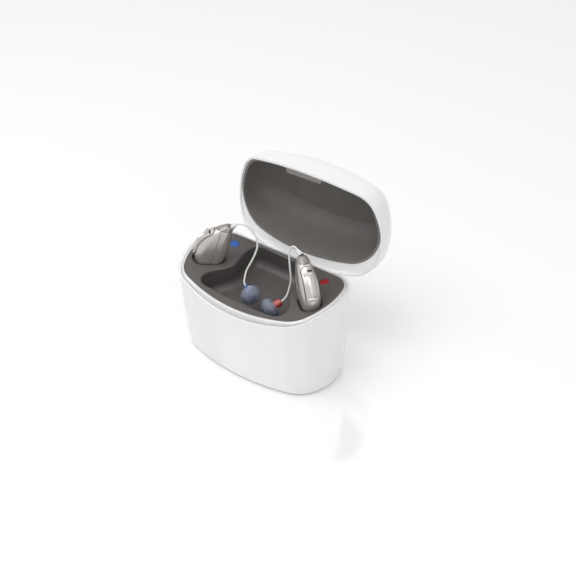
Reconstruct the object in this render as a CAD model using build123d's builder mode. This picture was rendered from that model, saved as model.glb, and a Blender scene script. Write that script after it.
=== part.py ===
"""Bedside charging case for a pair of receiver-in-canal hearing aids.

Millimetres, +Z up, the origin on the table under the middle of the base, +X to the user's right
and +Y to the back. The lid stands open, as the case is used. The top of the case is drawn in its
own frame, the deck: a plane over the base that rises to the back, with w measured square to it.
"""

import os
from dataclasses import dataclass, replace
from math import atan2, cos, hypot, pi, radians, sin, sqrt, tan

from build123d import *

os.makedirs("parts", exist_ok=True)

# Case body
case_half_length = 42.0
deck_front = 28.2
deck_back = 21.8
deck_height = 41.0
deck_tilt = 6.0
base_half_length = 40.5
base_half_depth = 23.7
base_lift = 0.4
base_edge_round = 1.8
mid_height = 21.0
mid_bulge = 0.5
case_wall = 2.2
prism_top = 10.0

# Parting line between case and lid, a shallow saddle cut by a large cylinder
parting_radius = 114.0
parting_gap = 0.3
lip_wall = 1.2
seat_drop = 4.6
ledge_thickness = 2.0
ledge_width = 2.6

# Collar and tray
collar_gap = 0.12
collar_wall = 1.35
collar_round = 1.0
tray_gap = 0.12
tray_rise = 3.0
tray_radius = 163.0
tray_sink = 0.2
plate_thickness = 2.4
skirt_wall = 1.6

# Well for the wires and domes
well_depth = 10.5
well_wall = 1.5
well_floor_round = 4.0
well_edge_round = 0.9
lobe_half_width = 24.0
lobe_front = 20.4
lobe_back = 9.5
neck_half_width = 16.6
neck_flare = 2.2
neck_back = 17.4
neck_corner = 5.0
neck_shoulder = 20.0
neck_waist = 12.0
lobe_shoulder = 8.0
lobe_corner = 4.6

# Docks
dock_x = 30.8
dock_y = -6.35
dock_clearance = 0.6
dock_wall = 1.5
dock_edge_round = 0.5
dock_turn = 40.4
lean_in = 16.7
lean_back = 7.15
marker_x = 26.6
marker_y = 10.4
marker_diameter = 4.6
marker_thickness = 0.6
marker_round = 0.2

# Lid
lid_height = 30.0
lid_straight = 10.5
lid_round_in = 20.0
lid_crown_angle = 78.0
lid_wall = 1.3
lid_clearance = 0.4
liner_gap = 0.12
liner_wall = 1.1
rim_back_width = 4.2
inner_corner = 0.7
liner_rise = 0.5
open_angle = 97.4
latch_width = 23.0
latch_inner_width = 18.6
latch_depth = 2.8
latch_thickness = 1.4

# Hinge
hinge_y = 20.8
hinge_z = 40.0
barrel_radius = 2.6
barrel_half_length = 12.8
barrel_side_gap = 0.3
barrel_clearance = 0.35
ear_length = 6.0
pin_radius = 0.8
pin_running = 0.05
pin_inset = 0.4

# Base
plate_gap = 0.15
floor_plate = 3.0
mat_inset = 7.0
mat_thickness = 1.3
post_x = 29.5
post_y = 12.5
post_radius = 3.0
post_height = 10.0
post_rib = 1.6
screw_radius = 1.1
screw_head_radius = 2.2
screw_head_height = 1.0
screw_length = 8.0

# Electronics
board_length = 50.0
board_depth = 14.5
board_thickness = 1.6
board_standoff = 3.6
board_back_gap = 3.8
inlet_width = 9.0
inlet_height = 3.3
inlet_depth = 8.5
inlet_wall = 0.4
cell_length = 46.0
cell_depth = 16.0
cell_height = 19.0
cell_corner = 2.5
cell_front = -16.2
cradle_wall = 1.5
cradle_height = 7.0
coil_outer = 4.1
coil_inner = 2.0
coil_thickness = 1.5
magnet_length = 12.0
magnet_depth = 2.4
magnet_height = 4.0

# Hearing aids, along their own axis from the mouth of the dock
aid_foot = 3.2
aid_top = 20.9
aid_belly = 9.2
aid_spine = 6.5
aid_width = 9.1
aid_cap = 18.2
aid_cap_slope = 5.0
aid_split = -2.6
aid_groove = 0.24
aid_groove_depth = 0.3
aid_seam = 0.12
aid_foot_round = 1.3
aid_top_round = 1.1
rocker_length = 16.7
rocker_width = 5.0
rocker_low = 1.7
rocker_high = 17.4
rocker_proud = 0.7
rocker_under = 0.6
rocker_gap = 0.3
rocker_throw = 0.55
rocker_pivot = 0.3
trunnion_radius = 0.5
trunnion_reach = 0.7
trunnion_running = 0.05
ridge_radius = 0.8
ridge_offset = 5.2
led_length = 3.3
led_width = 0.8
led_depth = 0.5
led_offset = 1.7
aid_cell_radius = 3.6
aid_cell_length = 4.8
aid_cell_x = -1.5
aid_cell_z = 5.0
wire_diameter = 0.85
plug_diameter = 2.3
plug_length = 3.6
plug_seat = 1.6
receiver_diameter = 3.6
receiver_length = 5.2
nozzle_diameter = 2.0
nozzle_length = 3.0
dome_radius = 5.0
dome_length = 6.0
dome_wall = 0.7
dome_sleeve = 0.6


@dataclass
class Oval:
    """A soft rectangle of eight tangent arcs: two long sides, two ends and four corners."""

    half: float
    front: float
    back: float
    front_r: float
    back_r: float
    end_r: float
    front_corner: float
    back_corner: float
    moved_front: float = 0.0

    def sizes(self):
        """The eight lengths that make the outline, without its place."""
        return list(vars(self).values())[:8]

    def inset(self, d):
        """The same oval, moved in by d all round."""
        return Oval(*(value - d for value in self.sizes()), self.moved_front)

    def shrunk(self, d):
        """The oval drawn in by d about its middle, with its corners in proportion, for a domed roof."""
        share = 1 - 2 * d / (self.front + self.back)
        depths = (self.front * share, self.back * share)
        sides = (self.front_r - d, self.back_r - d, self.end_r - d)
        corners = (self.front_corner * share, self.back_corner * share)
        moved = (self.front - self.back) / 2 * (1 - share)
        return Oval(self.half - d, *depths, *sides, *corners, moved)

    def arcs(self):
        """Start, middle and end point of each arc, anticlockwise from the front."""
        end = (self.half - self.end_r, 0.0)

        def corner(side, side_r, r, up):
            """Centre of the corner arc between the right end and one long side."""
            centre = (0.0, up * (side - side_r))
            to_side, to_end = side_r - r, self.end_r - r
            dx, dy = end[0] - centre[0], end[1] - centre[1]
            span = hypot(dx, dy)
            along = (to_side**2 - to_end**2 + span**2) / (2 * span)
            off = -up * sqrt(to_side**2 - along**2)
            x = centre[0] + (along * dx - off * dy) / span
            y = centre[1] + (along * dy + off * dx) / span
            return centre, (x, y)

        def out(centre, through, r):
            """The point at radius r from centre, on the line through another point."""
            dx, dy = through[0] - centre[0], through[1] - centre[1]
            return (centre[0] + r * dx / hypot(dx, dy), centre[1] + r * dy / hypot(dx, dy))

        def halfway(centre, r, start, stop):
            """The middle of the arc from start to stop."""
            a = atan2(start[1] - centre[1], start[0] - centre[0])
            b = atan2(stop[1] - centre[1], stop[0] - centre[0])
            return (centre[0] + r * cos((a + b) / 2), centre[1] + r * sin((a + b) / 2))

        side_f, corner_f = corner(self.front, self.front_r, self.front_corner, -1)
        side_b, corner_b = corner(self.back, self.back_r, self.back_corner, 1)
        f1, e1 = out(side_f, corner_f, self.front_r), out(end, corner_f, self.end_r)
        e2, b1 = out(end, corner_b, self.end_r), out(side_b, corner_b, self.back_r)
        right = [
            (f1, halfway(corner_f, self.front_corner, f1, e1), e1),
            (e1, halfway(end, self.end_r, e1, e2), e2),
            (e2, halfway(corner_b, self.back_corner, e2, b1), b1),
        ]
        flip = lambda p: (-p[0], p[1])
        left = [tuple(flip(p) for p in reversed(arc)) for arc in reversed(right)]
        front_arc = (flip(f1), (0.0, -self.front), f1)
        back_arc = (b1, (0.0, self.back), flip(b1))
        return [front_arc, *right, back_arc, *left]

    def draw(self, plane):
        """Sketch the oval as a face on a plane."""
        with BuildSketch(plane) as sketch:
            with BuildLine():
                for arc in self.arcs():
                    ThreePointArc(*((x, y - self.moved_front) for x, y in arc))
            make_face()
        return sketch.sketch


deck_oval = Oval(case_half_length, deck_front, deck_back, 111.0, 159.0, 36.9, 13.5, 14.9)
base_oval = Oval(base_half_length, base_half_depth, base_half_depth, 100.0, 100.0, 27.2, 16.6, 15.6)
middle_share = mid_height / deck_height
mid_oval = Oval(*(
    low + (high - low) * middle_share
    for low, high in zip(base_oval.sizes(), deck_oval.sizes())
)).inset(-mid_bulge)

# The deck frame, and planes in it
tilt = radians(deck_tilt)
deck_origin = Vector(0, 0, deck_height)
deck_normal = Vector(0, -sin(tilt), cos(tilt))


def deck(w=0.0):
    """The plane at height w over the deck."""
    return Plane(deck_origin + deck_normal * w, x_dir=(1, 0, 0), z_dir=deck_normal)


def sag(radius, x):
    """How far a saddle of this radius has risen at x."""
    return radius - sqrt(radius**2 - x**2)


def saddle(radius, low):
    """The solid over a saddle surface whose lowest line is at height low over the deck."""
    centre = deck_origin + deck_normal * (low + radius)
    along = Vector(0, cos(tilt), sin(tilt))
    with BuildPart() as body:
        with BuildSketch(Plane(centre - along * case_half_length * 2, x_dir=(1, 0, 0), z_dir=along)):
            Circle(radius)
        extrude(amount=case_half_length * 4)
    return body.part


def prism(oval, low, high):
    """An oval block between two heights over the deck."""
    with BuildPart() as body:
        extrude(oval.draw(deck(low)), amount=high - low)
    return body.part


def rod(centre, direction, radius, length, start=0.0):
    """A round bar from a point along a direction."""
    with BuildPart() as body:
        with BuildSketch(Plane(Vector(*centre) + Vector(*direction).normalized() * start, z_dir=direction)):
            Circle(radius)
        extrude(amount=length)
    return body.part


def case_body(inset, low):
    """The case's outer form, or the same form drawn in, from a height up past the deck."""
    middle = Plane((0, 0, mid_height), x_dir=(1, 0, 0), z_dir=(0, -sin(tilt / 2), cos(tilt / 2)))
    with BuildPart() as body:
        loft([
            base_oval.inset(inset).draw(Plane.XY.offset(low)),
            mid_oval.inset(inset).draw(middle),
            deck_oval.inset(inset).draw(deck()),
            deck_oval.inset(inset).draw(deck(prism_top)),
        ])
    return body.part


over_parting = saddle(parting_radius, 0.0)
over_tray = saddle(tray_radius, tray_rise - tray_sink)
over_collar = saddle(tray_radius, tray_rise)
hinge_line = Vector(0, hinge_y, hinge_z)
hinge_half_length = barrel_half_length + barrel_side_gap + ear_length


def hinge_bar(radius, half_length):
    """A round bar on the hinge line, centred."""
    return rod(hinge_line - Vector(half_length, 0, 0), (1, 0, 0), radius, 2 * half_length)


hinge_room = hinge_bar(barrel_radius + barrel_clearance, barrel_half_length + barrel_side_gap)
ear_room = hinge_bar(barrel_radius + collar_gap, hinge_half_length + collar_gap) + hinge_room


def well_outline(plane, grow=0.0):
    """The well's bow-tie outline: a wide lobe in front, a neck between the docks."""
    right = [
        (lobe_half_width, -lobe_front),
        (lobe_half_width, -lobe_back - 3.5),
        (neck_half_width, -lobe_back + 7.1),
        (neck_half_width + neck_flare, neck_back / 2),
        (neck_half_width + 0.7 * neck_flare, neck_back),
    ]
    radii = [lobe_corner, lobe_shoulder, neck_waist, neck_shoulder, neck_corner]
    left = [(-x, y) for x, y in reversed(right)]
    with BuildSketch(plane) as sketch:
        with BuildLine():
            FilletPolyline(*right, *left, radius=[*radii, *reversed(radii)], close=True)
        make_face()
        if grow:
            offset(amount=grow)
    return sketch.sketch


# Case shell: walls, ledge for the tray, screw posts, hinge ears and the inlet's hole
board_top = base_lift + floor_plate + board_standoff + board_thickness
inlet_z = board_top + inlet_height / 2
with BuildPart() as case_shell:
    add(case_body(0.0, base_lift))
    fillet(case_shell.faces().sort_by(Axis.Z)[0].edges(), base_edge_round)
    add(case_body(case_wall, base_lift - 1), mode=Mode.SUBTRACT)
    add(prism(deck_oval.inset(case_wall - 0.1), -seat_drop - ledge_thickness, -seat_drop))
    add(
        prism(deck_oval.inset(case_wall + ledge_width), -seat_drop - 2 * ledge_thickness, 0),
        mode=Mode.SUBTRACT,
    )
    add(prism(deck_oval.inset(lip_wall), -seat_drop, prism_top + 1), mode=Mode.SUBTRACT)
    extrude(
        well_outline(deck(-seat_drop - 2 * ledge_thickness), well_wall + tray_gap),
        amount=2 * ledge_thickness + 1, mode=Mode.SUBTRACT,
    )
    with BuildPart(mode=Mode.PRIVATE) as posts:
        post_low = base_lift + floor_plate
        with BuildSketch(Plane.XY.offset(post_low)):
            for x in (-post_x, post_x):
                for y in (-post_y, post_y):
                    angle = atan2(y, x) * 180 / pi
                    with Locations((x, y)):
                        Circle(post_radius)
                    with Locations(Location((x, y), angle)):
                        Rectangle(case_half_length, post_rib, align=(Align.MIN, Align.CENTER))
        extrude(amount=post_height)
        add(case_body(case_wall / 2, base_lift - 1), mode=Mode.INTERSECT)
        with Locations([(x, y, post_low) for x in (-post_x, post_x) for y in (-post_y, post_y)]):
            Cylinder(
                screw_radius, post_height - post_rib, align=(Align.CENTER, Align.CENTER, Align.MIN),
                mode=Mode.SUBTRACT,
            )
    add(posts.part)
    add(over_parting, mode=Mode.SUBTRACT)
    add(hinge_bar(barrel_radius, hinge_half_length))
    add(hinge_room, mode=Mode.SUBTRACT)
    with BuildSketch(Plane.XY.offset(hinge_z)):
        with Locations((0, hinge_y - collar_gap)):
            Rectangle(
                2 * (barrel_half_length + barrel_side_gap), 4 * barrel_radius,
                align=(Align.CENTER, Align.MIN),
            )
    extrude(amount=3 * barrel_radius, mode=Mode.SUBTRACT)
    add(hinge_bar(pin_radius, hinge_half_length - pin_inset), mode=Mode.SUBTRACT)
    with BuildSketch(Plane.XZ.offset(-base_half_depth - case_wall)):
        with Locations((0, inlet_z)):
            SlotOverall(inlet_width + 0.4, inlet_height + 0.4)
    extrude(amount=2.5 * case_wall, mode=Mode.SUBTRACT)
case_shell.part.label = "case_shell"
export_step(case_shell.part, "parts/case_shell.step")

# Collar round the tray, its outer edge rounded over
with BuildPart() as collar:
    collar_outer = deck_oval.inset(lip_wall + collar_gap)
    extrude(collar_outer.draw(deck(-seat_drop)), amount=seat_drop + prism_top + 1)
    add(over_collar, mode=Mode.SUBTRACT)
    fillet(collar.faces().sort_by(Axis.Z)[-1].edges(), collar_round)
    add(prism(collar_outer.inset(collar_wall), -seat_drop - 1, prism_top + 2), mode=Mode.SUBTRACT)
    add(ear_room, mode=Mode.SUBTRACT)
collar.part.label = "collar"
export_step(collar.part, "parts/collar.step")

# Docks: each leans in and back, square to the aid that stands in it
lean = Vector(-sin(radians(lean_in)), sin(radians(lean_back)), 0)
lean = Vector(lean.X, lean.Y, sqrt(1 - lean.X**2 - lean.Y**2))
spine_flat = Vector(cos(radians(dock_turn)), -sin(radians(dock_turn)), 0)
dock_mouth = (
    deck_origin
    + Vector(dock_x, dock_y * cos(tilt), dock_y * sin(tilt))
    + deck_normal * (tray_rise - tray_sink + sag(tray_radius, dock_x))
)
sides = {"left": -1, "right": 1}


def dock_plane(side, at=0.0):
    """The plane square to an aid, at a height over the mouth of its dock; x points to its spine."""
    axis = Vector(side * lean.X, lean.Y, lean.Z)
    flat = Vector(side * spine_flat.X, spine_flat.Y, 0)
    spine = flat - axis * flat.dot(axis)
    mouth = Vector(side * dock_mouth.X, dock_mouth.Y, dock_mouth.Z)
    return Plane(mouth + axis * at, x_dir=spine, z_dir=axis)


def aid_sizes(at):
    """How far the aid reaches to its spine and belly, and its width, at a height."""
    spine = aid_spine - (0.048 if at > 6 else 0.03) * (at - 6) ** 2
    belly = aid_belly - 0.009 * (at - 8) ** 2
    width = aid_width - 0.017 * (at - 5) ** 2
    return spine, belly, min(width, 0.97 * (spine + belly))


def slot_on(plane, spine, belly, width):
    """A slot that reaches from the belly to the spine, on a plane square to the aid."""
    with BuildSketch(plane) as sketch:
        with Locations(((spine - belly) / 2, 0)):
            SlotOverall(spine + belly, width)
    return sketch.sketch


tray_oval = collar_outer.inset(collar_wall + tray_gap)
under_plate = prism(tray_oval.inset(skirt_wall), -seat_drop - 1, prism_top) - saddle(
    tray_radius + plate_thickness, tray_rise - tray_sink - plate_thickness
)
well_top = tray_rise + prism_top
well_floor = tray_rise - tray_sink - well_depth
marker_spots = {
    side: deck_origin
    + Vector(sign * marker_x, marker_y * cos(tilt), marker_y * sin(tilt))
    + deck_normal * (tray_rise - tray_sink + sag(tray_radius, marker_x))
    for side, sign in sides.items()
}
marker_normals = {
    side: deck_normal * cos(marker_x / tray_radius) - Vector(sign * sin(marker_x / tray_radius), 0, 0)
    for side, sign in sides.items()
}

# Tray: a moulded deck with the wire well and two docks
with BuildPart() as tray:
    add(prism(tray_oval, -seat_drop, prism_top))
    add(under_plate, mode=Mode.SUBTRACT)
    extrude(well_outline(deck(well_floor - well_wall), well_wall), amount=well_depth + well_wall - 1)
    for sign in sides.values():
        mouth = aid_sizes(0)
        room = [size + dock_clearance * k for size, k in zip(mouth, (1, 1, 2))]
        outer = [size + dock_wall * k for size, k in zip(room, (1, 1, 2))]
        extrude(slot_on(dock_plane(sign, -aid_foot - dock_wall), *outer), amount=aid_foot + 2 * dock_wall)
    add(prism(tray_oval, -3 * well_depth, prism_top), mode=Mode.INTERSECT)
    add(over_tray, mode=Mode.SUBTRACT)
    with BuildPart(mode=Mode.PRIVATE) as hollow:
        extrude(well_outline(deck(well_floor)), amount=well_top - well_floor)
        fillet(hollow.faces().sort_by(Axis.Z)[0].edges(), well_floor_round)
    add(hollow.part, mode=Mode.SUBTRACT)
    for sign in sides.values():
        with BuildPart(mode=Mode.PRIVATE) as dock:
            extrude(slot_on(dock_plane(sign, -aid_foot), *room), amount=4 * aid_foot)
        add(dock.part, mode=Mode.SUBTRACT)
    deck_top = tray.faces().filter_by(
        lambda face: face.geom_type == GeomType.CYLINDER and abs(face.radius - tray_radius) < tray_gap
    ).sort_by(SortBy.AREA)[-1]
    left_rim, right_rim, well_rim = sorted(deck_top.inner_wires(), key=lambda rim: rim.length)
    fillet(well_rim.edges(), well_edge_round)
    fillet([*left_rim.edges(), *right_rim.edges()], dock_edge_round)
    for side in sides:
        add(
            rod(marker_spots[side], marker_normals[side], marker_diameter / 2 + 0.05,
                2 * marker_thickness, -marker_thickness),
            mode=Mode.SUBTRACT,
        )
    add(ear_room, mode=Mode.SUBTRACT)
tray.part.label = "tray"
export_step(tray.part, "parts/tray.step")

# Left and right markers, set flush in the tray
marker_names = {"left": "blue_marker", "right": "red_marker"}
for side, name in marker_names.items():
    with BuildPart() as marker:
        add(rod(marker_spots[side], marker_normals[side], marker_diameter / 2,
                marker_thickness - 0.05, -marker_thickness))
        fillet(marker.edges().filter_by(GeomType.CIRCLE).sort_by(Axis.Z)[-1], marker_round)
    marker.part.label = name
    export_step(marker.part, f"parts/{name}.step")


def lid_dome(drawn_in, low, narrowed=0.0):
    """The lid's domed form, or the same form drawn in and set forward from the hinge side."""
    with BuildPart() as body:
        sections = []
        steps = 5
        for i in range(-2, steps + 1):
            turn = radians(lid_crown_angle * max(i, 0) / steps)
            oval = deck_oval.shrunk(lid_round_in * (1 - cos(turn))).inset(drawn_in * cos(turn))
            if narrowed:
                fade = cos(turn)
                oval = replace(
                    oval,
                    back=oval.back - narrowed * fade,
                    back_corner=oval.back_corner * (inner_corner + (1 - inner_corner) * 2 * fade),
                )
            up = lid_straight + (lid_height - lid_straight) * sin(turn) - drawn_in * sin(turn)
            if i < 0:
                up = low if i == -2 else (low + lid_straight) / 2
            sections.append(oval.draw(deck(up)))
        loft(sections)
    return body.part


opening = Axis((0, hinge_y, hinge_z), (-1, 0, 0))
over_lid_rim = saddle(parting_radius - parting_gap, parting_gap)
over_liner_rim = saddle(tray_radius, tray_rise + liner_rise)
rim_room = prism(deck_oval.inset(lip_wall + collar_gap - lid_clearance), -3.0, prism_top) - over_liner_rim

# Lid shell: a dome with a hinge barrel on an arm at the back, made shut and then swung open
with BuildPart() as shut_shell:
    add(lid_dome(0.0, -1.0))
    add(lid_dome(lid_wall, -2.0, rim_back_width), mode=Mode.SUBTRACT)
    add(rim_room, mode=Mode.SUBTRACT)
    add(over_lid_rim, mode=Mode.INTERSECT)
    with BuildPart(mode=Mode.PRIVATE) as arm:
        with BuildSketch(Plane.XY.offset(hinge_z)):
            with Locations((0, hinge_y)):
                Rectangle(2 * barrel_half_length, barrel_radius, align=(Align.CENTER, Align.MIN))
        extrude(amount=2.3 * barrel_radius)
        add(prism(deck_oval, -2 * seat_drop, prism_top), mode=Mode.INTERSECT)
    add(arm.part)
    add(hinge_bar(barrel_radius, barrel_half_length))
    add(hinge_bar(pin_radius + pin_running, hinge_half_length), mode=Mode.SUBTRACT)
with BuildPart() as lid_shell:
    add(shut_shell.part.rotate(opening, open_angle))
lid_shell.part.label = "lid_shell"
export_step(lid_shell.part, "parts/lid_shell.step")

# Lid liner: an inner dome whose edge stands just over the collar and tray
liner_in = liner_gap + liner_wall
with BuildPart() as lid_liner:
    add(lid_dome(lid_wall + liner_gap, 0.0, rim_back_width))
    add(lid_dome(lid_wall + liner_in, -1.0, rim_back_width), mode=Mode.SUBTRACT)
    add(over_liner_rim, mode=Mode.INTERSECT)
with BuildPart() as lid_liner_open:
    add(lid_liner.part.rotate(opening, open_angle))
lid_liner_open.part.label = "lid_liner"
export_step(lid_liner_open.part, "parts/lid_liner.step")

# Latch plate inside the lid's front rim, which the magnet in the base holds down
with BuildPart() as latch_plate:
    with BuildSketch(deck(tray_rise + liner_rise)):
        front_inside = liner_in + lid_wall - deck_front
        with BuildLine():
            Polyline(
                (-latch_width / 2, front_inside - 1),
                (latch_width / 2, front_inside - 1),
                (latch_inner_width / 2, front_inside + latch_depth),
                (-latch_inner_width / 2, front_inside + latch_depth),
                close=True,
            )
        make_face()
    extrude(amount=latch_thickness)
    add(lid_dome(lid_wall + liner_in, -1.0, rim_back_width), mode=Mode.INTERSECT)
with BuildPart() as latch_plate_open:
    add(latch_plate.part.rotate(opening, open_angle))
latch_plate_open.part.label = "latch_plate"
export_step(latch_plate_open.part, "parts/latch_plate.step")

# Hinge pin through the ears and the barrel
with BuildPart() as hinge_pin:
    add(hinge_bar(pin_radius, hinge_half_length - pin_inset))
hinge_pin.part.label = "hinge_pin"
export_step(hinge_pin.part, "parts/hinge_pin.step")

# Base plate, with standoffs for the board and a cradle for the cell
post_spots = [(x, y) for x in (-post_x, post_x) for y in (-post_y, post_y)]
plate_top = base_lift + floor_plate
board_back = base_half_depth - case_wall - board_back_gap
board_front = board_back - board_depth
standoff_spots = [
    (x, y)
    for x in (-board_length / 2 + 3, board_length / 2 - 3)
    for y in (board_front + 3, board_back - 3)
]
head_top = mat_thickness + screw_head_height
with BuildPart() as base_plate:
    with BuildSketch(Plane.XY.offset(base_lift)):
        add(base_oval.inset(case_wall + plate_gap).draw(Plane.XY))
    extrude(amount=floor_plate)
    with BuildSketch(Plane.XY.offset(base_lift)):
        add(base_oval.inset(mat_inset - plate_gap).draw(Plane.XY))
    extrude(amount=mat_thickness - base_lift, mode=Mode.SUBTRACT)
    with BuildSketch(Plane.XY.offset(mat_thickness)):
        with Locations(*post_spots):
            Circle(screw_head_radius + plate_gap)
    extrude(amount=screw_head_height, mode=Mode.SUBTRACT)
    with BuildSketch(Plane.XY.offset(mat_thickness)):
        with Locations(*post_spots):
            Circle(screw_radius + plate_gap)
    extrude(amount=floor_plate, mode=Mode.SUBTRACT)
    with BuildSketch(Plane.XY.offset(plate_top)):
        with Locations(*standoff_spots):
            Circle(2.0)
    extrude(amount=board_standoff)
    with BuildSketch(Plane.XY.offset(plate_top)):
        with Locations((0, cell_front + cell_depth / 2)):
            Rectangle(cell_length + 2 * cradle_wall + 0.4, cell_depth + 2 * cradle_wall + 0.4)
            Rectangle(cell_length + 0.4, cell_depth + 0.4, mode=Mode.SUBTRACT)
            Rectangle(cell_length * 0.6, cell_depth * 2, mode=Mode.SUBTRACT)
    extrude(amount=cradle_height)
base_plate.part.label = "base_plate"
export_step(base_plate.part, "parts/base_plate.step")

# Rubber mat that the case stands on
with BuildPart() as base_mat:
    with BuildSketch(Plane.XY):
        add(base_oval.inset(mat_inset).draw(Plane.XY))
    extrude(amount=mat_thickness)
    fillet(base_mat.faces().sort_by(Axis.Z)[0].edges(), base_lift / 2)
base_mat.part.label = "base_mat"
export_step(base_mat.part, "parts/base_mat.step")

# Four screws from the base plate up into the posts
with BuildPart() as base_screws:
    with BuildSketch(Plane.XY.offset(mat_thickness)):
        with Locations(*post_spots):
            Circle(screw_head_radius)
    extrude(amount=screw_head_height)
    with BuildSketch(Plane.XY.offset(head_top)):
        with Locations(*post_spots):
            Circle(screw_radius)
    extrude(amount=screw_length)
    with BuildSketch(Plane.XY.offset(mat_thickness)):
        with Locations(*post_spots):
            Rectangle(screw_head_radius * 1.2, 0.5)
            Rectangle(0.5, screw_head_radius * 1.2)
    extrude(amount=screw_head_height * 0.6, mode=Mode.SUBTRACT)
base_screws.part.label = "base_screws"
export_step(base_screws.part, "parts/base_screws.step")

# Main board on its standoffs, with a shield can and a driver coil on top
with BuildPart() as main_board:
    with BuildSketch(Plane.XY.offset(board_top - board_thickness)):
        with Locations((0, board_front + board_depth / 2)):
            RectangleRounded(board_length, board_depth, 1.5)
    extrude(amount=board_thickness)
    with BuildSketch(Plane.XY.offset(board_top)):
        with Locations((-board_length / 4, board_front + board_depth / 2)):
            RectangleRounded(12, 10, 0.6)
        with Locations((board_length / 4, board_front + board_depth / 2)):
            RectangleRounded(7, 7, 0.6)
    extrude(amount=1.8)
main_board.part.label = "main_board"
export_step(main_board.part, "parts/main_board.step")

# Power inlet on the board's back edge, in the slot of the back wall
inlet_back = base_half_depth - case_wall / 4
with BuildPart() as power_inlet:
    with BuildSketch(Plane.XZ.offset(-inlet_back)):
        with Locations((0, inlet_z)):
            SlotOverall(inlet_width, inlet_height)
    extrude(amount=inlet_depth)
    with BuildSketch(Plane.XZ.offset(-inlet_back)):
        with Locations((0, inlet_z)):
            SlotOverall(inlet_width - 2 * inlet_wall, inlet_height - 2 * inlet_wall)
    extrude(amount=inlet_depth - 1, mode=Mode.SUBTRACT)
    with BuildSketch(Plane.XZ.offset(-inlet_back + 0.5)):
        with Locations((0, inlet_z)):
            Rectangle(inlet_width - 4 * inlet_wall - 1, inlet_height / 5)
    extrude(amount=inlet_depth - 1)
power_inlet.part.label = "power_inlet"
export_step(power_inlet.part, "parts/power_inlet.step")

# Power cell in its cradle
with BuildPart() as power_cell:
    with BuildSketch(Plane.XY.offset(plate_top)):
        with Locations((0, cell_front + cell_depth / 2)):
            RectangleRounded(cell_length, cell_depth, cell_corner)
    extrude(amount=cell_height)
    fillet(power_cell.faces().sort_by(Axis.Z)[-1].edges(), cell_corner / 2)
power_cell.part.label = "power_cell"
export_step(power_cell.part, "parts/power_cell.step")

# Charging coils, one flat against the floor of each dock
for side, sign in sides.items():
    with BuildPart() as coil:
        with BuildSketch(dock_plane(sign, -aid_foot - dock_wall)):
            Circle(coil_outer)
            Circle(coil_inner, mode=Mode.SUBTRACT)
        extrude(amount=-coil_thickness)
    coil.part.label = f"{side}_coil"
    export_step(coil.part, f"parts/{side}_coil.step")

# Magnet under the front of the ledge
with BuildPart() as front_magnet:
    with BuildSketch(deck(-seat_drop - ledge_thickness)):
        with Locations((0, -lobe_front - well_wall - 0.4 - magnet_depth / 2)):
            Rectangle(magnet_length, magnet_depth)
    extrude(amount=-magnet_height)
front_magnet.part.label = "front_magnet"
export_step(front_magnet.part, "parts/front_magnet.step")


def aid_form(sign, proud=0.0, inset=0.0):
    """The aid's whole outer form, from its foot to its top, or the same form drawn in all round."""
    with BuildPart() as body:
        sections = []
        for at in (-aid_foot, 0.0, 3.0, 6.0, 9.0, 12.0, 15.0, 18.0, aid_top):
            spine, belly, width = aid_sizes(at)
            drawn = (spine + proud - inset, belly - inset, width - 2 * inset)
            sections.append(slot_on(dock_plane(sign, at), *drawn))
        loft(sections)
    return body.part


def local(sign, x, y, z):
    """A point of an aid in the case's frame."""
    return dock_plane(sign).from_local_coords(Vector(x, y, z))


def split_groove(sign):
    """The groove round the aid where its two halves meet, along its whole length."""
    plane = dock_plane(sign)
    start = local(sign, aid_split - aid_groove / 2, 0, 0)
    with BuildPart() as body:
        with BuildSketch(Plane(start, x_dir=plane.y_dir, z_dir=plane.x_dir)):
            Rectangle(60, 60)
        extrude(amount=aid_groove)
        add(aid_form(sign, inset=aid_groove_depth), mode=Mode.SUBTRACT)
    return body.part


def over_cap_seam(sign, raised=0.0):
    """The space over the seam between housing and cap."""
    plane = dock_plane(sign)
    slope = radians(aid_cap_slope)
    normal = plane.x_dir * sin(slope) + plane.z_dir * cos(slope)
    start = local(sign, 0, 0, aid_cap) + normal * raised
    with BuildPart() as body:
        with BuildSketch(Plane(start, x_dir=plane.y_dir, z_dir=normal)):
            Rectangle(60, 60)
        extrude(amount=40)
    return body.part


# The rocker lies along the chord of the spine, between its lower and upper end
low_x, high_x = aid_sizes(rocker_low)[0], aid_sizes(rocker_high)[0]
chord = atan2(low_x - high_x, rocker_high - rocker_low)
rocker_x = (low_x + high_x) / 2
rocker_z = (rocker_low + rocker_high) / 2


def rocker_spot(along, out):
    """Local x and z of a point at a distance along the rocker and out from its chord."""
    x = rocker_x - along * sin(chord) + out * cos(chord)
    z = rocker_z + along * cos(chord) + out * sin(chord)
    return x, z


def rocker_prism(sign, length, width, start, along=0.0):
    """A slot on the rocker's chord, standing out from the spine."""
    plane = dock_plane(sign)
    up = plane.z_dir * cos(chord) - plane.x_dir * sin(chord)
    out = plane.x_dir * cos(chord) + plane.z_dir * sin(chord)
    x, z = rocker_spot(along, start)
    with BuildPart() as body:
        with BuildSketch(Plane(local(sign, x, 0, z), x_dir=up, z_dir=out)):
            SlotOverall(length, width)
        extrude(amount=2 * aid_spine)
    return body.part


def across(sign, spot, radius, half_length):
    """A round bar across the aid, along its width, at a local x and z."""
    side_dir = dock_plane(sign).y_dir
    return rod(local(sign, spot[0], 0, spot[1]) - side_dir * half_length, side_dir, radius, 2 * half_length)


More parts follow.
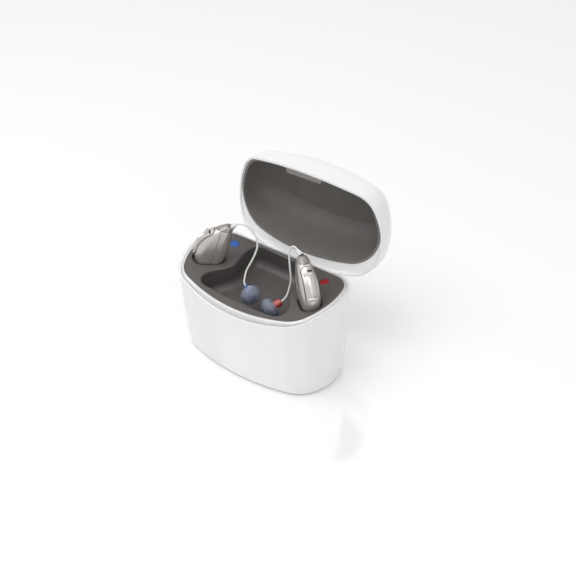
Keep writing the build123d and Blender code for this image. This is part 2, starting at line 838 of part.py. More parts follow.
# Chosen points of each wire between its plug and its receiver, and where the domes lie
wire_points = {
    "left": [
        (-13.5, 2.3, 65.8), (-10.7, 3.8, 63.7), (-8.3, 4.1, 60.3), (-7.0, 3.3, 56.2),
        (-7.2, 1.1, 52.2), (-8.0, -1.2, 48.6), (-8.8, -3.5, 45.2), (-7.9, -5.8, 42.3),
    ],
    "right": [
        (15.65, 0.8, 66.15), (14.0, 0.8, 65.75), (12.8, 0.65, 64.6), (12.3, 0.45, 62.9),
        (12.6, 0.1, 60.2), (13.3, -0.4, 56.4), (14.2, -0.9, 52.7), (14.9, -1.5, 49.1), (15.0, -2.7, 45.6),
    ],
}
dome_centres = {"left": Vector(2.0, -12.8, 40.9), "right": Vector(12.2, -13.2, 38.2)}
dome_axes = {
    "left": Vector(0.86, -0.5, -0.1).normalized(),
    "right": Vector(-0.40, -0.85, -0.35).normalized(),
}
first_run = {"left": 2.8, "right": 1.7}
last_run = {"left": 2.9, "right": 3.0}
receiver_back = receiver_length + nozzle_length - dome_length / 4


def wire_route(side, sign):
    """The whole route: out along the plug, through the chosen points, into the receiver's back."""
    outward = Vector(-sign * 0.745, 0.15, 0.65).normalized()
    start = local(sign, -6.9, 0, 20.2) + outward * (plug_length - plug_seat)
    stop = dome_centres[side] - dome_axes[side] * receiver_back
    points = [Vector(*point) for point in wire_points[side]]
    before = stop - dome_axes[side] * last_run[side]
    return [start, start + outward * first_run[side], *points, before, stop], outward


def bend_radii(points):
    """A radius for each corner of a route, as large as its two runs allow."""
    radii = []
    for before, here, after in zip(points, points[1:], points[2:]):
        run_in, run_out = here - before, after - here
        half_turn = radians(run_in.get_angle(run_out) / 2)
        radii.append(0.45 * min(run_in.length, run_out.length) / tan(half_turn))
    return radii


for side, sign in sides.items():
    form = aid_form(sign)
    proud_form = aid_form(sign, rocker_proud)
    plane = dock_plane(sign)
    route, outward = wire_route(side, sign)
    plug_start = route[0] - outward * plug_length
    recess = rocker_prism(
        sign, rocker_length + 2 * rocker_gap, rocker_width + 2 * rocker_gap, -rocker_under - rocker_throw
    )
    cell_bore = across(sign, (aid_cell_x, aid_cell_z), aid_cell_radius, aid_cell_length / 2)
    trunnion_half = rocker_width / 2 + rocker_gap + trunnion_reach
    pivot = rocker_spot(0, rocker_pivot)

    # Housing, split along its length into two halves
    with BuildPart() as housing:
        add(form)
        add(over_cap_seam(sign), mode=Mode.SUBTRACT)
        fillet(housing.faces().sort_by(Axis(plane.origin, plane.z_dir))[0].edges(), aid_foot_round)
        add(recess, mode=Mode.SUBTRACT)
        add(cell_bore, mode=Mode.SUBTRACT)
        add(
            across(sign, pivot, trunnion_radius + trunnion_running, trunnion_half + trunnion_running),
            mode=Mode.SUBTRACT,
        )
        add(rod(plug_start, outward, plug_diameter / 2, plug_length), mode=Mode.SUBTRACT)
        add(split_groove(sign), mode=Mode.SUBTRACT)
    halves = split(
        housing.part, bisect_by=Plane(local(sign, aid_split, 0, 0), z_dir=plane.x_dir), keep=Keep.BOTH
    )
    belly, spine = sorted(halves.solids(), key=lambda half: plane.to_local_coords(half.center()).X)
    for place, half in (("belly", belly), ("spine", spine)):
        with BuildPart() as aid_half:
            add(half)
        aid_half.part.label = f"{side}_aid_{place}_half"
        export_step(aid_half.part, f"parts/{side}_aid_{place}_half.step")

    # Cap over the microphones
    with BuildPart() as aid_cap_part:
        add(form)
        fillet(aid_cap_part.faces().sort_by(Axis(plane.origin, plane.z_dir))[-1].edges(), aid_top_round)
        add(over_cap_seam(sign, aid_seam), mode=Mode.INTERSECT)
        add(rod(plug_start, outward, plug_diameter / 2, plug_length), mode=Mode.SUBTRACT)
    aid_cap_part.part.label = f"{side}_aid_cap"
    export_step(aid_cap_part.part, f"parts/{side}_aid_cap.step")

    # Cell between the halves
    with BuildPart() as aid_cell:
        add(cell_bore)
    aid_cell.part.label = f"{side}_aid_cell"
    export_step(aid_cell.part, f"parts/{side}_aid_cell.step")

    # Rocker with two ridges, on trunnions, and the lamp window set into it
    lamp_z = rocker_spot(led_offset, 0)[1]
    lamp_out = (aid_sizes(lamp_z)[0] + rocker_proud - rocker_x) * cos(chord) + (lamp_z - rocker_z) * sin(chord)
    window = rocker_prism(sign, led_length, led_width, lamp_out - led_depth, led_offset)
    with BuildPart() as rocker:
        add(rocker_prism(sign, rocker_length, rocker_width, -rocker_under))
        add(proud_form, mode=Mode.INTERSECT)
        for offset_z in (-ridge_offset, ridge_offset):
            ridge_z = rocker_z + offset_z
            ridge_x = aid_sizes(ridge_z)[0] + rocker_proud - ridge_radius / 2
            add(across(sign, (ridge_x, ridge_z), ridge_radius, rocker_width / 2 - ridge_radius))
        add(across(sign, pivot, trunnion_radius, trunnion_half))
        add(window, mode=Mode.SUBTRACT)
    rocker.part.label = f"{side}_aid_rocker"
    export_step(rocker.part, f"parts/{side}_aid_rocker.step")
    with BuildPart() as lamp_window:
        add(window)
        add(proud_form, mode=Mode.INTERSECT)
    lamp_window.part.label = f"{side}_lamp_window"
    export_step(lamp_window.part, f"parts/{side}_lamp_window.step")

    # Wire with its plug
    with BuildPart() as plug:
        add(rod(plug_start, outward, plug_diameter / 2, plug_length))
    plug.part.label = f"{side}_wire_plug"
    export_step(plug.part, f"parts/{side}_wire_plug.step")
    corner_radii = bend_radii(route)
    print(side, "wire radii", [round(radius, 1) for radius in corner_radii])
    with BuildPart() as wire:
        with BuildLine() as path:
            FilletPolyline(*route, radius=corner_radii)
        with BuildSketch(Plane(route[0], z_dir=outward)):
            Circle(wire_diameter / 2)
        sweep()
    print(side, "wire volume over section times length",
          round(wire.part.volume / (pi * wire_diameter**2 / 4 * sum(edge.length for edge in path.line.edges())), 4))
    wire.part.label = f"{side}_wire"
    export_step(wire.part, f"parts/{side}_wire.step")

    # Receiver with its nozzle, and the soft dome over the nozzle
    centre, along = dome_centres[side], dome_axes[side]
    with BuildPart() as receiver:
        add(rod(route[-1], along, receiver_diameter / 2, receiver_length))
        fillet(receiver.edges().filter_by(GeomType.CIRCLE), receiver_diameter / 6)
        add(rod(route[-1] + along * receiver_length, along, nozzle_diameter / 2, nozzle_length))
    receiver.part.label = f"{side}_receiver"
    export_step(receiver.part, f"parts/{side}_receiver.step")
    with BuildPart() as dome:
        square = Vector(0, 0, 1) - along * along.Z
        with BuildSketch(Plane(centre, x_dir=along, z_dir=along.cross(square))):
            with Locations((-dome_length / 8, 0)):
                Ellipse(dome_length * 5 / 8, dome_radius)
                Ellipse(dome_length * 5 / 8 - dome_wall, dome_radius - dome_wall, mode=Mode.SUBTRACT)
            with Locations((dome_length / 4 - nozzle_length, 0)):
                Rectangle(
                    nozzle_length + dome_length / 4 - dome_wall / 2, nozzle_diameter + 2 * dome_sleeve,
                    align=(Align.MIN, Align.CENTER),
                )
            with Locations((dome_length / 4 - nozzle_length - dome_length, 0)):
                Rectangle(nozzle_length + dome_length, nozzle_diameter, align=(Align.MIN, Align.CENTER),
                          mode=Mode.SUBTRACT)
            with Locations((-dome_length / 2, 0)):
                Rectangle(dome_length, 4 * dome_radius, align=(Align.MAX, Align.CENTER), mode=Mode.SUBTRACT)
            Rectangle(4 * dome_length, 2 * dome_radius, align=(Align.CENTER, Align.MAX), mode=Mode.SUBTRACT)
        revolve(axis=Axis(centre, along))
    dome.part.label = f"{side}_dome"
    export_step(dome.part, f"parts/{side}_dome.step")
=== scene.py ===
"""Scene of a tabletop charging case with its lid open and a pair of hearing aids in the docks.

Metres, +Z up, the origin on the table under the middle of the base, +X to the user's right.
"""

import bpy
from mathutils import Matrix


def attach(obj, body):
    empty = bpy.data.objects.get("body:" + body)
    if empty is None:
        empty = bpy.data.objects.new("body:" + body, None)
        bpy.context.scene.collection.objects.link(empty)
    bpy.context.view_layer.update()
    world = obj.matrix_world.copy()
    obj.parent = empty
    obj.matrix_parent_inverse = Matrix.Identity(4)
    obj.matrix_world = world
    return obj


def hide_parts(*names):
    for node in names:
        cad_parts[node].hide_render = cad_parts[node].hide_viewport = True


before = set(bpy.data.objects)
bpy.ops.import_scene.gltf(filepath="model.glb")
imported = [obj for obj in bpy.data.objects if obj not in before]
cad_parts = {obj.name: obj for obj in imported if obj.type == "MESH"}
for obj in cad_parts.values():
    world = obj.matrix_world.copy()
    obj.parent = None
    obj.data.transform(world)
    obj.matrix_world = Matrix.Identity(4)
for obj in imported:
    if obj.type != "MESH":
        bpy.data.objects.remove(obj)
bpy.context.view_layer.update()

import logging
import math
from dataclasses import dataclass
from enum import Enum

import bpy
from mathutils import Matrix, Vector

LOG = logging.getLogger("charging_case")
MM = 0.001
IMAGE_PIXELS = 576


class Side(Enum):
    """The user's left or right ear, and the sign of x on that side of the case."""

    LEFT = -1
    RIGHT = 1

    @property
    def word(self) -> str:
        """The side's name as node and piece names have it."""
        return self.name.lower()


def linear(colour: str) -> tuple[float, float, float, float]:
    """Turn an sRGB hex colour into the linear colour that a shader socket takes.

    Args:
        colour: Six hex digits after a hash sign.

    Returns:
        Linear red, green, blue and an alpha of 1.
    """
    channels = [int(colour[i:i + 2], 16) / 255 for i in (1, 3, 5)]
    curve = [c / 12.92 if c <= 0.04045 else ((c + 0.055) / 1.055) ** 2.4 for c in channels]
    return (*curve, 1.0)


def add_node(
    tree: bpy.types.NodeTree,
    kind: str,
    settings: dict[str, object] | None = None,
    values: dict[str | int, object] | None = None,
    links: dict[str | int, bpy.types.NodeSocket] | None = None,
) -> bpy.types.Node:
    """Add one shader node with its settings, socket values and incoming links.

    Args:
        tree: The node tree of a material or of the world.
        kind: The node's type name.
        settings: Properties of the node itself.
        values: Values of input sockets, by name or number.
        links: Output sockets of other nodes, by the input that they feed.

    Returns:
        The new node.
    """
    made = tree.nodes.new(kind)
    for name, value in (settings or {}).items():
        setattr(made, name, value)
    for name, value in (values or {}).items():
        made.inputs[name].default_value = value
    for name, source in (links or {}).items():
        tree.links.new(source, made.inputs[name])
    return made


@dataclass(frozen=True)
class Finish:
    """One real finish: what it is made of and how its surface was made.

    The two colours are those of the lighter and darker patches of a soft mottle. The grain is a fine
    relief of the mould or the lacquer, and edge_mm the small round that every moulded edge has.
    """

    name: str
    light: str
    dark: str
    roughness: float
    roughness_spread: float = 0.03
    mottle_mm: float = 9.0
    grain_mm: float = 0.5
    grain_um: float = 2.0
    edge_mm: float = 0.2
    metallic: float = 0.0
    ior: float = 1.5
    coat: float = 0.0
    coat_roughness: float = 0.05
    subsurface: float = 0.0
    transmission: float = 0.0
    glow: float = 0.0

    def material(self) -> bpy.types.Material:
        """Build the finish as a node material, once, and return it."""
        known = bpy.data.materials.get(self.name)
        if known:
            return known
        made = bpy.data.materials.new(self.name)
        made.use_nodes = True
        tree = made.node_tree
        tree.nodes.clear()
        place = add_node(tree, "ShaderNodeTexCoord").outputs["Object"]
        mottle = add_node(
            tree, "ShaderNodeTexNoise",
            values={"Scale": 1 / (self.mottle_mm * MM), "Detail": 3.0, "Roughness": 0.5},
            links={"Vector": place},
        )
        grain = add_node(
            tree, "ShaderNodeTexNoise",
            values={"Scale": 1 / (self.grain_mm * MM), "Detail": 2.0, "Roughness": 0.6},
            links={"Vector": place},
        )
        colour = add_node(
            tree, "ShaderNodeMix", {"data_type": "RGBA"},
            {6: linear(self.dark), 7: linear(self.light)}, {0: mottle.outputs[0]},
        )
        low, high = self.roughness - self.roughness_spread, self.roughness + self.roughness_spread
        gloss = add_node(
            tree, "ShaderNodeMapRange",
            values={"From Min": 0.3, "From Max": 0.7, "To Min": low, "To Max": high},
            links={"Value": grain.outputs[0]},
        )
        edge = add_node(tree, "ShaderNodeBevel", {"samples": 4}, {"Radius": self.edge_mm * MM})
        relief = add_node(
            tree, "ShaderNodeBump",
            values={"Strength": 1.0, "Distance": self.grain_um * MM * MM},
            links={"Height": grain.outputs[0], "Normal": edge.outputs[0]},
        )
        shader = add_node(
            tree, "ShaderNodeBsdfPrincipled",
            values={
                "Metallic": self.metallic, "IOR": self.ior, "Coat Weight": self.coat,
                "Coat Roughness": self.coat_roughness, "Subsurface Weight": self.subsurface,
                "Subsurface Scale": MM, "Transmission Weight": self.transmission,
                "Emission Color": linear(self.light), "Emission Strength": self.glow,
            },
            links={
                "Base Color": colour.outputs[2], "Roughness": gloss.outputs[0], "Normal": relief.outputs[0],
            },
        )
        add_node(tree, "ShaderNodeOutputMaterial", links={"Surface": shader.outputs[0]})
        return made


# Polished ABS: a clear, even gloss over a plain white
WHITE_ABS = Finish("polished_white_abs", "#F4F4F4", "#F1F1F1", 0.15, ior=1.53, coat=0.35, edge_mm=0.35)
# The same ABS as moulded, unpolished, on the parts that stay hidden
PLAIN_ABS = Finish("moulded_white_abs", "#E4E4E2", "#DCDCDA", 0.45, grain_um=6.0)
# Silver-white lacquer with fine mica: satin, and a little brighter where it turns to the light
PEARL_LACQUER = Finish("pearl_lacquer", "#DEDEDD", "#D2D2D2", 0.32, metallic=0.25, coat=0.25, edge_mm=0.3)
# ABS and polycarbonate blend from a spark-eroded mould: an even satin with a fine tooth
ERODED_BLEND = Finish(
    "spark_eroded_grey_blend", "#5C5957", "#534F4D", 0.46, grain_mm=0.35, grain_um=7.0, edge_mm=0.35
)
# The same blend, paler and with a finer tooth, so that only broad dim highlights show
LINER_BLEND = Finish("fine_eroded_grey_blend", "#7F7B78", "#73706D", 0.50, grain_mm=0.3, grain_um=3.0)
# Pad-printed and cured inks, a little domed
BLUE_INK = Finish("cured_blue_ink", "#2C66BE", "#2458A8", 0.3, mottle_mm=2.0)
RED_INK = Finish("cured_red_ink", "#A22C2E", "#8E2426", 0.3, mottle_mm=2.0)
# Metallic lacquer under a clear coat: an even silver with a touch of champagne
AID_LACQUER = Finish(
    "champagne_metallic_lacquer", "#C9C4C0", "#B6B0AC", 0.33, mottle_mm=4.0, grain_mm=0.3, grain_um=0.4,
    metallic=0.6, coat=0.5, edge_mm=0.25,
)
# The darker lacquer of the aid's cap
CAP_LACQUER = Finish(
    "graphite_metallic_lacquer", "#97928E", "#85817D", 0.34, mottle_mm=4.0, grain_mm=0.3, grain_um=0.4,
    metallic=0.5, coat=0.5, edge_mm=0.2,
)
# Painted shade: the dark inside of a slot, a pinhole, a groove or a socket, laid as a dark sheet on the skin
GAP_SHADE = Finish("painted_gap_shade", "#262423", "#1F1D1C", 0.5, mottle_mm=2.0, edge_mm=0.05)
# Lamp window of milky polycarbonate, lit from behind
LAMP_LENS = Finish("lit_polycarbonate_lens", "#FFFFFF", "#F8FAFF", 0.25, glow=0.85)
# Wire sheath of soft white polyamide: pale, smooth, slightly waxy
WIRE_SHEATH = Finish("white_polyamide_sheath", "#ECECEA", "#E4E4E1", 0.32, mottle_mm=1.5, subsurface=0.15)
# Coloured receiver housings of clear-coated polyamide
BLUE_SHELL = Finish("blue_polyamide", "#3C62B0", "#31529A", 0.25, mottle_mm=2.0, coat=0.4)
RED_SHELL = Finish("red_polyamide", "#C4463C", "#A93A32", 0.25, mottle_mm=2.0, coat=0.4)
# Soft silicone domes: smoky, see-through, with a wet-looking skin
SILICONE = Finish(
    "smoky_silicone", "#D6DCE8", "#B4BDD0", 0.14, mottle_mm=3.0, ior=1.34, transmission=0.78, edge_mm=0.1
)
# Blasted stainless steel, dull and warm
BLASTED_STEEL = Finish("blasted_steel", "#9A9593", "#8C8785", 0.42, grain_mm=0.25, grain_um=3.0, metallic=0.6)
# Ground steel of pins and screws
GROUND_STEEL = Finish("ground_steel", "#C4C5C6", "#B4B5B6", 0.28, mottle_mm=1.5, metallic=1.0)
# Nickel plating on the magnet
NICKEL_PLATE = Finish("nickel_plate", "#D2D0CA", "#C8C6C0", 0.15, metallic=1.0)
# Matt rubber with a moulded tooth
RUBBER = Finish("matt_rubber", "#2C2C2D", "#242425", 0.7, grain_mm=0.6, grain_um=15.0)
# Solder mask over glass-fibre board
SOLDER_MASK = Finish("green_solder_mask", "#1F5A3A", "#1A4D32", 0.3, grain_mm=0.8)
# Drawn aluminium can of the cells
DRAWN_CAN = Finish("drawn_aluminium_can", "#BFC0C2", "#B0B1B3", 0.34, metallic=1.0)
# Enamelled copper winding
COPPER = Finish("enamelled_copper", "#B9744A", "#A5633C", 0.3, metallic=0.9, mottle_mm=0.5)


def dress(node: str, finish: Finish) -> None:
    """Give a CAD node a finish in every material slot that it has.

    Args:
        node: The node's name.
        finish: The finish of the real piece.
    """
    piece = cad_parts[node]
    for material_slot in piece.material_slots:
        material_slot.material = finish.material()


def deselect() -> None:
    """Leave nothing selected, so that an operator acts on its own piece only."""
    for piece in bpy.context.selected_objects:
        piece.select_set(False)


def settle(piece: bpy.types.Object, turn: Matrix, name: str) -> None:
    """Put a finished piece where it belongs, with its place in its mesh.

    Args:
        piece: The piece, modelled round the origin.
        turn: The matrix from the piece's own axes to the frame.
        name: The piece's name.
    """
    piece.data.transform(turn @ piece.matrix_basis)
    piece.matrix_basis = Matrix.Identity(4)
    piece.name = name
    piece.data.name = name


def along(start: Vector, direction: Vector) -> Matrix:
    """The matrix that sets a piece's own +Z on a line that starts at a point."""
    turned = direction.to_track_quat("Z", "Y").to_matrix().to_4x4()
    return Matrix.Translation(start) @ turned


@dataclass
class Studio:
    """The camera, the floor and the soft lights."""

    azimuth: float = 38.04
    elevation: float = 36.8
    distance: float = 0.4252
    target: tuple[float, float, float] = (0.0, 0.0, 0.020)
    focal_pixels: float = 881.9
    target_pixel: tuple[float, float] = (265.3, 317.9)
    sensor: float = 36.0
    fill: float = 0.52
    floor_size: float = 8.0
    floor_colour: str = "#F4F4F4"
    floor_roughness: float = 0.12
    floor_ior: float = 2.3
    floor_lift: float = 0.10

    def toward(self, azimuth: float, elevation: float) -> Vector:
        """The unit vector from the case towards a place around it, in degrees."""
        a, e = math.radians(azimuth), math.radians(elevation)
        return Vector((math.sin(a) * math.cos(e), -math.cos(a) * math.cos(e), math.sin(e)))

    def set_camera(self) -> None:
        """Place the camera at the photograph's viewpoint, with the photograph's framing as a shift."""
        data = bpy.data.cameras.new("camera")
        camera = bpy.data.objects.new("camera", data)
        bpy.context.scene.collection.objects.link(camera)
        back = self.toward(self.azimuth, self.elevation)
        camera.location = Vector(self.target) + back * self.distance
        camera.rotation_euler = (-back).to_track_quat("-Z", "Y").to_euler()
        middle = IMAGE_PIXELS / 2
        data.sensor_width = self.sensor
        data.lens = self.focal_pixels * self.sensor / IMAGE_PIXELS
        data.shift_x = (middle - self.target_pixel[0]) / IMAGE_PIXELS
        data.shift_y = (self.target_pixel[1] - middle) / IMAGE_PIXELS
        data.clip_start = 0.01
        bpy.context.scene.camera = camera
        bpy.context.scene.view_settings.view_transform = "Standard"

    def seen_directly(self, tree: bpy.types.NodeTree) -> bpy.types.NodeSocket:
        """One where a ray comes from the camera, a mirror or through glass, and nought elsewhere."""
        rays = add_node(tree, "ShaderNodeLightPath").outputs
        seen = add_node(
            tree, "ShaderNodeMath", {"operation": "MAXIMUM"},
            links={0: rays["Is Camera Ray"], 1: rays["Is Glossy Ray"]},
        )
        return add_node(
            tree, "ShaderNodeMath", {"operation": "MAXIMUM"},
            links={0: seen.outputs[0], 1: rays["Is Transmission Ray"]},
        ).outputs[0]

    def set_world(self) -> None:
        """Light the object evenly from all round, and show a white backdrop."""
        world = bpy.data.worlds.new("studio")
        world.use_nodes = True
        tree = world.node_tree
        tree.nodes.clear()
        even = add_node(tree, "ShaderNodeBackground", values={"Color": (1, 1, 1, 1), "Strength": self.fill})
        white = add_node(tree, "ShaderNodeBackground", values={"Color": (1, 1, 1, 1), "Strength": 1.0})
        both = add_node(
            tree, "ShaderNodeMixShader",
            links={0: self.seen_directly(tree), 1: even.outputs[0], 2: white.outputs[0]},
        )
        add_node(tree, "ShaderNodeOutputWorld", links={"Surface": both.outputs[0]})
        bpy.context.scene.world = world

    def set_floor(self) -> None:
        """Lay a pale glossy sheet that keeps the case's shadow and a faint reflection."""
        deselect()
        bpy.ops.mesh.primitive_plane_add(size=self.floor_size)
        floor = bpy.context.object
        floor.name = "floor"
        material = bpy.data.materials.new("pale_floor")
        material.use_nodes = True
        tree = material.node_tree
        tree.nodes.clear()
        sheet = add_node(
            tree, "ShaderNodeBsdfPrincipled",
            values={
                "Base Color": linear(self.floor_colour), "Roughness": self.floor_roughness,
                "IOR": self.floor_ior,
            },
        )
        lift = add_node(
            tree, "ShaderNodeMath", {"operation": "MULTIPLY"}, {1: self.floor_lift},
            {0: self.seen_directly(tree)},
        )
        glow = add_node(tree, "ShaderNodeEmission", links={"Strength": lift.outputs[0]})
        both = add_node(tree, "ShaderNodeAddShader", links={0: sheet.outputs[0], 1: glow.outputs[0]})
        add_node(tree, "ShaderNodeOutputMaterial", links={"Surface": both.outputs[0]})
        floor.data.materials.append(material)

    def add_softbox(
        self, name: str, azimuth: float, elevation: float, distance: float, size: tuple[float, float],
        watts: float,
    ) -> None:
        """Hang one rectangular soft light that points at the case.

        Args:
            name: What the light is for.
            azimuth: Degrees round from the front, to the user's right.
            elevation: Degrees over the table.
            distance: Metres from the middle of the case.
            size: Width and height in metres.
            watts: Its power.
        """
        data = bpy.data.lights.new(name, "AREA")
        data.shape = "RECTANGLE"
        data.size, data.size_y = size
        data.energy = watts
        lamp = bpy.data.objects.new(name, data)
        bpy.context.scene.collection.objects.link(lamp)
        way = self.toward(azimuth, elevation)
        lamp.location = Vector(self.target) + way * distance
        lamp.rotation_euler = (-way).to_track_quat("-Z", "Y").to_euler()

    def build(self) -> None:
        """Set up everything round the object."""
        self.set_camera()
        self.set_world()
        self.set_floor()
        self.add_softbox("key", -30, 62, 1.1, (0.8, 0.8), 4.6)
        self.add_softbox("front_right", 60, 30, 1.2, (0.5, 0.9), 1.7)
        self.add_softbox("top", 0, 85, 1.2, (1.0, 0.6), 2.4)


@dataclass(frozen=True)
class Mark:
    """A thin oval inlay on an aid's skin: a dark sheet of painted shade for a slot, a pinhole or a groove, or
    a raised rib.

    Places and ways are in millimetres along the aid's own axes, as the left aid has them. Where
    mirrored is set, the right aid has the mark on its other flank.
    """

    piece: str
    centre: tuple[float, float, float]
    outward: tuple[float, float, float]
    lengthwise: tuple[float, float, float]
    size: tuple[float, float]
    node: str
    finish: Finish
    rise: float = 0.02
    depth: float = 0.06
    mirrored: bool = False

    def facing(self, hand: int) -> tuple[Vector, Matrix]:
        """Find where the mark lies and how it is turned.

        Args:
            hand: 1 on the left aid and -1 on the right one.

        Returns:
            The middle of the mark, and the matrix that turns its own axes to the aid's.
        """
        flank = Vector((1, hand if self.mirrored else 1, 1))
        face = (Vector(self.outward) * flank).normalized()
        run = Vector(self.lengthwise)
        run = (run - face * face.dot(run)).normalized()
        return Vector(self.centre) * flank, Matrix((run, face.cross(run), face)).transposed().to_4x4()


# The dark marks are painted shade that stands for the depth of slots, holes and grooves; the rocker rib is
# real relief
MARKS = (
    Mark("mic_slot", (-2.3, 0.0, 17.3), (0.35, 0, 1), (0, 1, 0), (6.2, 0.42), "aid_spine_half", GAP_SHADE),
    Mark("mic_hole", (-6.7, 2.7, 18.0), (0, 1, 0.2), (0, 0, 1), (0.6, 0.6), "aid_belly_half", GAP_SHADE,
         mirrored=True),
    Mark("nose_groove", (-0.8, 0.4, 18.0), (0.6, 0, 0.8), (-0.3, 1, 0.1), (4.2, 0.3), "aid_spine_half",
         GAP_SHADE),
    Mark("rocker_mark_top", (1.8, 1.2, 15.5), (0.8, 0.1, 0.5), (0, 1, 0), (2.6, 1.1), "aid_rocker",
         GAP_SHADE),
    Mark("rocker_rib", (5.7, 1.5, 5.2), (1, 0.2, 0), (-0.35, 1, -0.3), (2.4, 0.6), "aid_rocker",
         AID_LACQUER, rise=0.3),
)


@dataclass
class DockedAid:
    """One hearing aid in its dock, with its wire, receiver and dome.

    The aid's own axes start at the mouth of its dock: x towards the spine that the user presses, z up
    the aid, y across it. Sizes are in millimetres there, as in the part's source.
    """

    side: Side
    route: tuple[tuple[float, float, float], ...]
    outward: tuple[float, float, float]
    wire_length: float
    wire_diameter: float = 0.85
    plug_diameter: float = 2.3
    mouth: tuple[float, float, float] = (30.8, -6.9146, 46.0408)
    lean_in: float = 16.7
    lean_back: float = 7.15
    turn: float = 40.4
    boot_length: float = 1.5
    boot_wall: float = 0.12
    ring_radius: float = 1.28
    ring_thickness: float = 0.2
    ring_stretch: float = 1.5
    ring_depth: float = 1.55

    @property
    def axes(self) -> Matrix:
        """The matrix from the aid's own axes, in metres, to the frame."""
        sign = self.side.value
        lean_in, lean_back = math.radians(self.lean_in), math.radians(self.lean_back)
        up = Vector((-sign * math.sin(lean_in), math.sin(lean_back), 0.0))
        up.z = math.sqrt(1 - up.length_squared)
        turn = math.radians(self.turn)
        flat = Vector((sign * math.cos(turn), -math.sin(turn), 0.0))
        spine = (flat - up * flat.dot(up)).normalized()
        across = up.cross(spine)
        mouth = Vector((sign * self.mouth[0], self.mouth[1], self.mouth[2])) * MM
        turned = Matrix((spine, across, up)).transposed().to_4x4()
        return Matrix.Translation(mouth) @ turned

    def name(self, piece: str) -> str:
        """The full name of one of this aid's pieces."""
        return f"{self.side.word}_{piece}"

    def carry(self, piece: bpy.types.Object, finish: Finish, part: str = "aid") -> None:
        """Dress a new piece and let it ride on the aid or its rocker.

        Args:
            piece: The new piece.
            finish: Its finish.
            part: The moving part that carries it, aid or rocker.
        """
        piece.data.materials.clear()
        piece.data.materials.append(finish.material())
        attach(piece, f"{self.side.word}_{part}")

    def add_wire(self) -> bpy.types.Object:
        """Lay the thin wire from the plug to the receiver as one smooth spline."""
        data = bpy.data.curves.new(self.name("wire_run"), "CURVE")
        data.dimensions = "3D"
        spline = data.splines.new("NURBS")
        spline.points.add(len(self.route) - 1)
        for point, place in zip(spline.points, self.route):
            point.co = (*(Vector(place) * MM), 1.0)
        spline.order_u = 3
        spline.use_endpoint_u = True
        spline.resolution_u = 12
        data.bevel_depth = self.wire_diameter / 2 * MM
        data.bevel_resolution = 6
        data.use_fill_caps = True
        wire = bpy.data.objects.new(self.name("wire_run"), data)
        bpy.context.scene.collection.objects.link(wire)
        self.carry(wire, WIRE_SHEATH)
        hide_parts(self.name("wire"))
        return wire

    def add_boot(self) -> bpy.types.Object:
        """Model the tapered boot that carries the wire out of its plug."""
        deselect()
        bpy.ops.mesh.primitive_cone_add(
            vertices=40, radius1=self.plug_diameter / 2 * MM,
            radius2=(self.wire_diameter / 2 + self.boot_wall) * MM,
            depth=self.boot_length * MM, location=(0, 0, self.boot_length / 2 * MM),
        )
        boot = bpy.context.object
        rim = boot.modifiers.new("rim", "BEVEL")
        rim.width = self.boot_wall * MM
        rim.segments = 3
        rim.limit_method = "ANGLE"
        bpy.ops.object.modifier_apply(modifier=rim.name)
        bpy.ops.object.shade_smooth_by_angle(angle=math.radians(35))
        start = Vector(self.route[0]) * MM
        settle(boot, along(start, Vector(self.outward)), self.name("wire_boot"))
        self.carry(boot, WIRE_SHEATH)
        return boot

    def add_mark(self, mark: Mark) -> None:
        """Lay one inlay on the aid's skin and give it its thickness.

        Args:
            mark: The inlay's place, size and finish.
        """
        deselect()
        bpy.ops.mesh.primitive_circle_add(vertices=48, radius=0.5, fill_type="TRIFAN")
        inlay = bpy.context.object
        bpy.ops.object.mode_set(mode="EDIT")
        bpy.ops.mesh.select_all(action="SELECT")
        bpy.ops.mesh.subdivide(number_cuts=3)
        bpy.ops.object.mode_set(mode="OBJECT")
        inlay.scale = (mark.size[0] * MM, mark.size[1] * MM, MM)
        bpy.ops.object.transform_apply(location=False, rotation=False, scale=True)
        centre, turned = mark.facing(-self.side.value)
        settle(inlay, self.axes @ Matrix.Translation(centre * MM) @ turned, self.name(mark.piece))
        wrap = inlay.modifiers.new("wrap", "SHRINKWRAP")
        wrap.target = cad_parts[self.name(mark.node)]
        wrap.wrap_method = "NEAREST_SURFACEPOINT"
        wrap.wrap_mode = "ABOVE_SURFACE"
        wrap.offset = mark.rise * MM
        shell = inlay.modifiers.new("shell", "SOLIDIFY")
        shell.thickness = (mark.rise + mark.depth) * MM
        shell.offset = -1.0
        for modifier in (wrap.name, shell.name):
            bpy.ops.object.modifier_apply(modifier=modifier)
        bpy.ops.object.shade_smooth_by_angle(angle=math.radians(40))
        self.carry(inlay, mark.finish, "rocker" if mark.node == "aid_rocker" else "aid")

    def add_socket_ring(self) -> None:
        """Model the dark ring of painted shade in the gap where the plug goes into the aid."""
        deselect()
        bpy.ops.mesh.primitive_torus_add(
            major_radius=self.ring_radius * MM, minor_radius=self.ring_thickness * MM,
            major_segments=48, minor_segments=12,
        )
        ring = bpy.context.object
        bpy.ops.object.mode_set(mode="EDIT")
        bpy.ops.mesh.select_all(action="SELECT")
        bpy.ops.transform.resize(value=(1, 1, self.ring_stretch))
        bpy.ops.object.mode_set(mode="OBJECT")
        bpy.ops.object.shade_smooth()
        way = Vector(self.outward)
        base = (Vector(self.route[0]) - way * self.ring_depth) * MM
        settle(ring, along(base, way), self.name("socket_ring"))
        self.carry(ring, GAP_SHADE)

    def dress_nodes(self) -> None:
        """Give this aid's CAD nodes their finishes."""
        receiver = BLUE_SHELL if self.side is Side.LEFT else RED_SHELL
        finishes = {
            "aid_spine_half": AID_LACQUER, "aid_belly_half": AID_LACQUER, "aid_rocker": AID_LACQUER,
            "aid_cap": CAP_LACQUER, "aid_cell": DRAWN_CAN, "lamp_window": LAMP_LENS,
            "wire_plug": WIRE_SHEATH, "receiver": receiver, "dome": SILICONE, "coil": COPPER,
        }
        for piece, finish in finishes.items():
            dress(self.name(piece), finish)

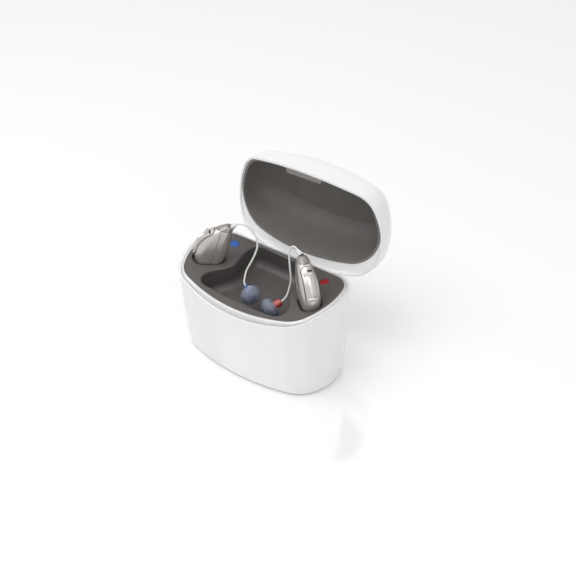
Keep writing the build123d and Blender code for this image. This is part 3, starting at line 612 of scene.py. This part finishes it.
    def build(self) -> None:
        """Make and dress everything on this side."""
        self.dress_nodes()
        wire = self.add_wire()
        boot = self.add_boot()
        for mark in MARKS:
            self.add_mark(mark)
        self.add_socket_ring()
        self.name("wire_plug")
        self.name("receiver")
        self.name("dome")
        LOG.info("%s aid with a %.1f mm wire", self.side.word, self.wire_length)


@dataclass
class ChargingCase:
    """The case with its collar, tray and lid."""

    def build(self) -> None:
        """Dress the case's and the lid's CAD nodes."""
        finishes = {
            "case_shell": WHITE_ABS, "lid_shell": WHITE_ABS, "base_plate": PLAIN_ABS,
            "collar": PEARL_LACQUER, "tray": ERODED_BLEND, "lid_liner": LINER_BLEND,
            "blue_marker": BLUE_INK, "red_marker": RED_INK, "latch_plate": BLASTED_STEEL,
            "hinge_pin": GROUND_STEEL, "base_screws": GROUND_STEEL, "power_inlet": GROUND_STEEL,
            "base_mat": RUBBER, "main_board": SOLDER_MASK, "power_cell": DRAWN_CAN,
            "front_magnet": NICKEL_PLATE,
        }
        for node, finish in finishes.items():
            dress(node, finish)
        LOG.info("case dressed in %d finishes", len(set(finishes.values())))


LEFT_AID = DockedAid(
    side=Side.LEFT,
    route=(
        (-18.62, 0.317, 64.468), (-16.534, 0.737, 66.288), (-13.5, 2.3, 65.8), (-10.7, 3.8, 63.7),
        (-8.3, 4.1, 60.3), (-7.0, 3.3, 56.2), (-7.2, 1.1, 52.2), (-8.0, -1.2, 48.6), (-8.8, -3.5, 45.2),
        (-7.9, -5.8, 42.3), (-6.258, -7.999, 41.86), (-3.763, -9.449, 41.57),
    ),
    outward=(0.745, 0.15, 0.65),
    wire_length=40.4,
)
RIGHT_AID = DockedAid(
    side=Side.RIGHT,
    route=(
        (18.62, 0.317, 64.468), (17.354, 0.572, 65.573), (15.9, 0.8, 66.2), (14.5, 0.8, 65.8),
        (13.5, 0.65, 64.6), (13.1, 0.45, 62.9), (13.5, 0.1, 60.2), (14.2, -0.4, 56.4), (15.1, -0.9, 52.7),
        (15.8, -1.3, 49.1), (15.7, -2.4, 45.6), (16.07, -4.976, 41.587), (14.873, -7.519, 40.539),
    ),
    outward=(-0.745, 0.15, 0.65),
    wire_length=33.2,
)


def main() -> None:
    """Build the scene piece by piece."""
    logging.basicConfig(level=logging.INFO)
    Studio().build()
    LEFT_AID.build()
    RIGHT_AID.build()
    ChargingCase().build()
    bpy.context.view_layer.update()


if __name__ == "__main__":
    main()
